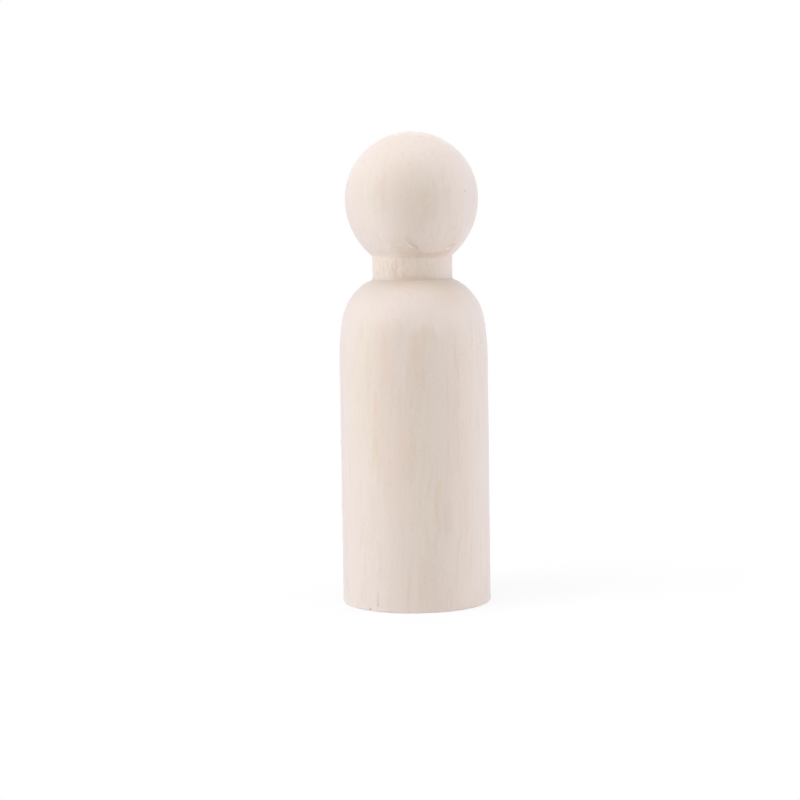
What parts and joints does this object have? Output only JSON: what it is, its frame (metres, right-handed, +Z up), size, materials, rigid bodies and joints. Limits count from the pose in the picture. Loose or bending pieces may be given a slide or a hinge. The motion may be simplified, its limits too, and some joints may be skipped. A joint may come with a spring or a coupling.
{
  "type": "peg doll",
  "caption": "Plain turned wooden doll blank with a round head, short neck, sloping shoulders and a straight round body on a flat base, left bare for painting.",
  "frame": {"origin": "middle of the flat base, on the surface that the doll stands on", "axes": "+Z up along the axis that the doll was turned about, from the base to the head; -Y is the side that the picture shows"},
  "size_m": [0.0237, 0.0236, 0.075],
  "materials": {
    "bare_wood": "bare, turned and lightly sanded, not sealed or painted"
  },
  "bodies": {
    "root": {"turned_doll": "bare_wood"}
  },
  "joints": []
}
